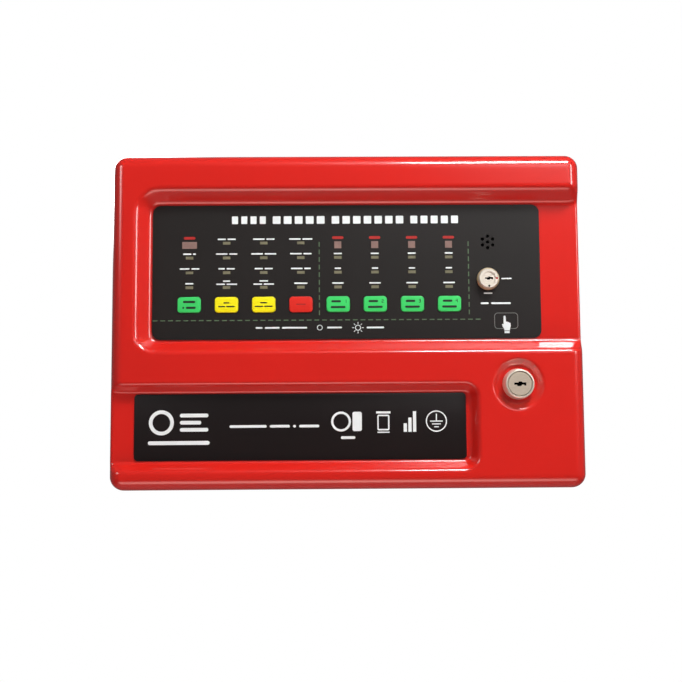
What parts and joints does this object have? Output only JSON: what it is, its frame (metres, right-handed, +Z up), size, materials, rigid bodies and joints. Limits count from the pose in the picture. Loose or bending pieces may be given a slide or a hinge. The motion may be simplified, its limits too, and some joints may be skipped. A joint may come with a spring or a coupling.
{
  "type": "fire alarm control panel",
  "caption": "Wall panel with a hinged red cover, stepped front, black indicator overlay with press keys, key switch, cam lock and a steel back box of electronics.",
  "frame": {"origin": "centre of the back box's flat rear face, on the wall plane", "axes": "+X to the right seen from the front, +Y from the front towards the wall, +Z up; the front faces -Y"},
  "size_m": [0.336, 0.0945, 0.239],
  "materials": {
    "red_abs": "glossy moulded ABS",
    "red_steel": "satin powder coat",
    "black_film": "satin printed polycarbonate",
    "window_grey": "translucent, unlit",
    "fire_window": "translucent, unlit",
    "key_green": "satin",
    "key_yellow": "satin",
    "key_red": "satin",
    "nickel": "polished nickel plate",
    "lock_face": "brushed, slightly warm",
    "ivory_metal": "satin",
    "zinc": "zinc plated",
    "board_green": "solder mask",
    "dark_plastic": "moulded",
    "terminal_green": "moulded",
    "relay_blue": "moulded",
    "cap_sleeve": "shrink sleeve",
    "cream_plastic": "moulded",
    "clear_glass": "clear with metal caps",
    "lamination": "varnished laminations",
    "coil_tape": "insulating tape",
    "battery_case": "moulded ABS",
    "brass": "plain",
    "led_body": "diffused",
    "wire_red": "PVC",
    "wire_black": "PVC",
    "wire_blue": "PVC",
    "wire_yellow": "PVC",
    "wire_earth": "PVC",
    "ribbon_grey": "flat cable",
    "white_nylon": "moulded nylon",
    "plug_black": "moulded"
  },
  "bodies": {
    "enclosure": {"back_box": "red_steel", "knockout_plugs": "plug_black", "terminal_board": "board_green", "board_standoffs": "brass", "board_screws": "zinc", "terminal_blocks": "terminal_green", "terminal_screws": "zinc", "relays": "relay_blue", "capacitors": "cap_sleeve", "board_chips": "dark_plastic", "fuse_holders": "cream_plastic", "glass_fuses": "clear_glass", "ribbon_header": "dark_plastic", "transformer_core": "lamination", "transformer_coil": "coil_tape", "transformer_bracket": "zinc", "box_screws": "zinc", "mains_terminal_block": "cream_plastic", "batteries": "battery_case", "battery_terminals": "brass", "battery_strap": "zinc", "battery_lead_red": "wire_red", "battery_lead_black": "wire_black", "battery_link_lead": "wire_blue", "transformer_leads": "wire_yellow", "earth_stud": "brass", "earth_lead": "wire_earth", "lock_catch": "zinc", "hinge_box_leaves": "zinc", "hinge_pins": "zinc", "ribbon_cable": "ribbon_grey"},
    "cover": {"front_cover": "red_abs", "display_overlay": "black_film", "nameplate": "black_film", "fire_windows": "fire_window", "status_windows": "window_grey", "display_board": "board_green", "display_leds": "led_body", "tact_switches": "dark_plastic", "buzzer": "dark_plastic", "display_standoffs": "white_nylon", "display_screws": "zinc", "display_chips": "dark_plastic", "ribbon_connector": "dark_plastic", "keyswitch_body": "ivory_metal", "lock_body": "nickel", "lock_nuts": "nickel", "hinge_cover_leaves": "zinc"},
    "key_reset_test_body": {"key_reset_test": "key_green"},
    "key_buzzer_silence_body": {"key_buzzer_silence": "key_yellow"},
    "key_sounder_silence_body": {"key_sounder_silence": "key_yellow"},
    "key_evacuate_body": {"key_evacuate": "key_red"},
    "key_zone_1_body": {"key_zone_1": "key_green"},
    "key_zone_2_body": {"key_zone_2": "key_green"},
    "key_zone_3_body": {"key_zone_3": "key_green"},
    "key_zone_4_body": {"key_zone_4": "key_green"},
    "switch_core": {"keyswitch_plug": "ivory_metal"},
    "lock_core": {"lock_plug": "lock_face", "lock_cam": "zinc", "lock_cam_screw": "zinc"}
  },
  "joints": [
    {"name": "cover_hinge", "type": "hinge", "parent": "enclosure", "child": "cover", "pos_m": [-0.1627, -0.052, 0], "axis": [0, 0, -1], "range_deg": [0, 95], "deforming": ["ribbon_cable"]},
    {"name": "lock_turn", "type": "hinge", "parent": "cover", "child": "lock_core", "pos_m": [0.1198, -0.09, -0.0463], "axis": [0, 1, 0], "range_deg": [0, 90]},
    {"name": "switch_turn", "type": "hinge", "parent": "cover", "child": "switch_core", "pos_m": [0.1013, -0.08, 0.0294], "axis": [0, 1, 0], "range_deg": [0, 90]},
    {"name": "reset_test_press", "type": "slide", "parent": "cover", "child": "key_reset_test_body", "axis": [0, 1, 0], "range_m": [0, 0.0004], "stiffness_N_per_m": 400},
    {"name": "buzzer_silence_press", "type": "slide", "parent": "cover", "child": "key_buzzer_silence_body", "axis": [0, 1, 0], "range_m": [0, 0.0004], "stiffness_N_per_m": 400},
    {"name": "sounder_silence_press", "type": "slide", "parent": "cover", "child": "key_sounder_silence_body", "axis": [0, 1, 0], "range_m": [0, 0.0004], "stiffness_N_per_m": 400},
    {"name": "evacuate_press", "type": "slide", "parent": "cover", "child": "key_evacuate_body", "axis": [0, 1, 0], "range_m": [0, 0.0004], "stiffness_N_per_m": 400},
    {"name": "zone_1_press", "type": "slide", "parent": "cover", "child": "key_zone_1_body", "axis": [0, 1, 0], "range_m": [0, 0.0004], "stiffness_N_per_m": 400},
    {"name": "zone_2_press", "type": "slide", "parent": "cover", "child": "key_zone_2_body", "axis": [0, 1, 0], "range_m": [0, 0.0004], "stiffness_N_per_m": 400},
    {"name": "zone_3_press", "type": "slide", "parent": "cover", "child": "key_zone_3_body", "axis": [0, 1, 0], "range_m": [0, 0.0004], "stiffness_N_per_m": 400},
    {"name": "zone_4_press", "type": "slide", "parent": "cover", "child": "key_zone_4_body", "axis": [0, 1, 0], "range_m": [0, 0.0004], "stiffness_N_per_m": 400}
  ]
}
